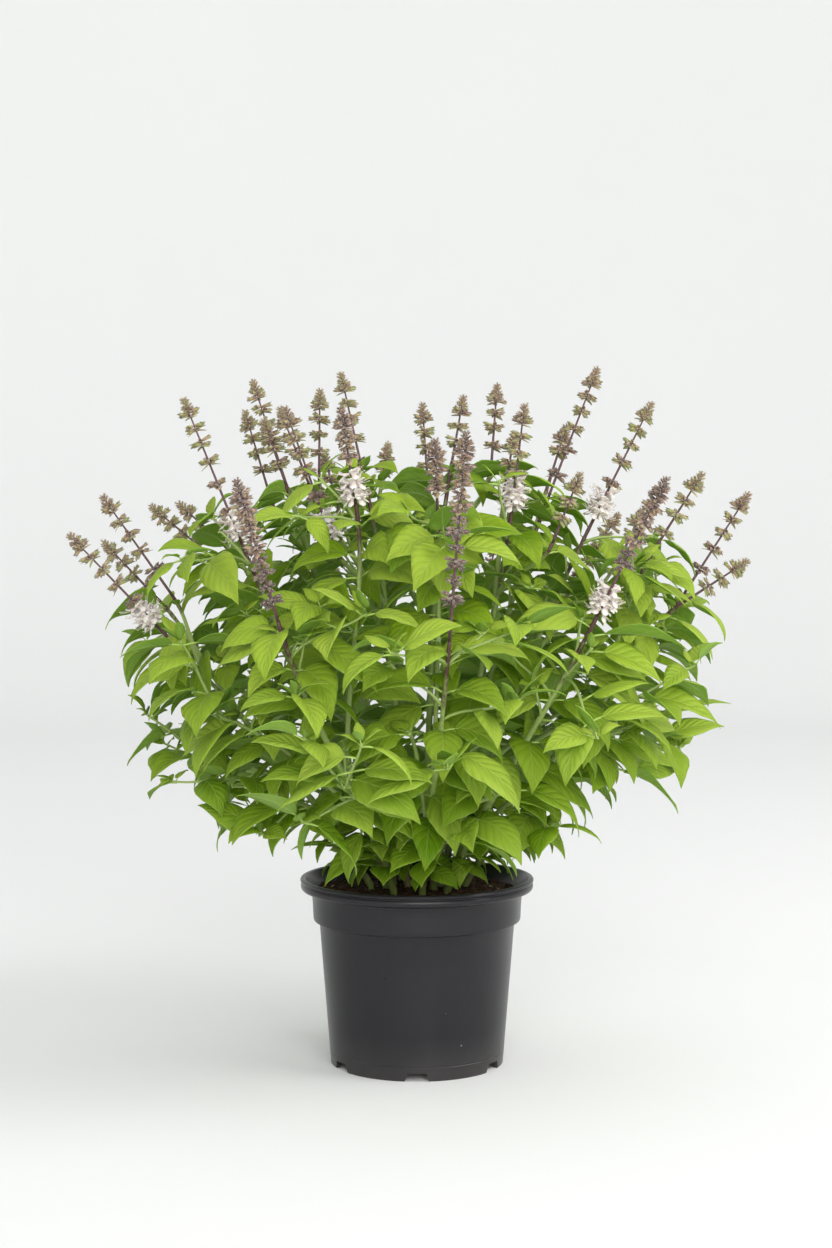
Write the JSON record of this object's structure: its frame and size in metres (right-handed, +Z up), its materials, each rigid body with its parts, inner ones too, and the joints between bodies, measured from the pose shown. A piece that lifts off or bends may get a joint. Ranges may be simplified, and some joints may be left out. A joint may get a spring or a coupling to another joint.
{
  "type": "potted basil plant",
  "caption": "Flowering basil bush of square stems with opposite leaves and tall flower spikes, growing in dark soil in a round tapering nursery pot.",
  "frame": {"origin": "on the surface that the pot stands on, under the middle of its base", "axes": "+Z up, -Y towards the front of the plant, +X to its right seen from the front"},
  "size_m": [0.494, 0.442, 0.51],
  "materials": {
    "pot": "satin",
    "soil": "matte",
    "leafy_stem": "satin",
    "flower_spike": "matte",
    "open_flowers": "matte"
  },
  "bodies": {
    "root": {"pot": "pot", "soil": "soil", "stem_back_left": "leafy_stem", "stem_back_right": "leafy_stem", "stem_front": "leafy_stem", "stem_front_left": "leafy_stem", "stem_front_right": "leafy_stem", "stem_left": "leafy_stem", "stem_left_upper": "leafy_stem", "stem_middle": "leafy_stem", "stem_middle_left": "leafy_stem", "stem_middle_right": "leafy_stem", "stem_rear_left": "leafy_stem", "stem_rear_right": "leafy_stem", "stem_right": "leafy_stem", "stem_right_upper": "leafy_stem", "spike_back_left_1": "flower_spike", "spike_back_left_2": "flower_spike", "spike_back_left_3": "flower_spike", "spike_back_left_4": "flower_spike", "spike_back_right_1": "flower_spike", "spike_back_right_2": "flower_spike", "spike_front_1": "flower_spike", "spike_front_2": "flower_spike", "spike_front_left_1": "flower_spike", "spike_front_left_2": "flower_spike", "spike_front_right_1": "flower_spike", "spike_left_1": "flower_spike", "spike_left_2": "flower_spike", "spike_left_3": "flower_spike", "spike_left_upper_1": "flower_spike", "spike_left_upper_2": "flower_spike", "spike_left_upper_3": "flower_spike", "spike_middle_1": "flower_spike", "spike_middle_2": "flower_spike", "spike_middle_3": "flower_spike", "spike_middle_4": "flower_spike", "spike_middle_left_1": "flower_spike", "spike_middle_left_2": "flower_spike", "spike_middle_left_3": "flower_spike", "spike_middle_left_4": "flower_spike", "spike_middle_right_1": "flower_spike", "spike_middle_right_2": "flower_spike", "spike_middle_right_3": "flower_spike", "spike_rear_left_1": "flower_spike", "spike_rear_left_2": "flower_spike", "spike_rear_right_1": "flower_spike", "spike_rear_right_2": "flower_spike", "spike_right_1": "flower_spike", "spike_right_2": "flower_spike", "spike_right_3": "flower_spike", "spike_right_upper_1": "flower_spike", "spike_right_upper_2": "flower_spike", "flowers_front_left_2": "open_flowers", "flowers_front_right_1": "open_flowers", "flowers_left_1": "open_flowers", "flowers_left_upper_1": "open_flowers", "flowers_middle_left_2": "open_flowers", "flowers_middle_right_1": "open_flowers", "flowers_right_upper_1": "open_flowers"}
  },
  "joints": []
}
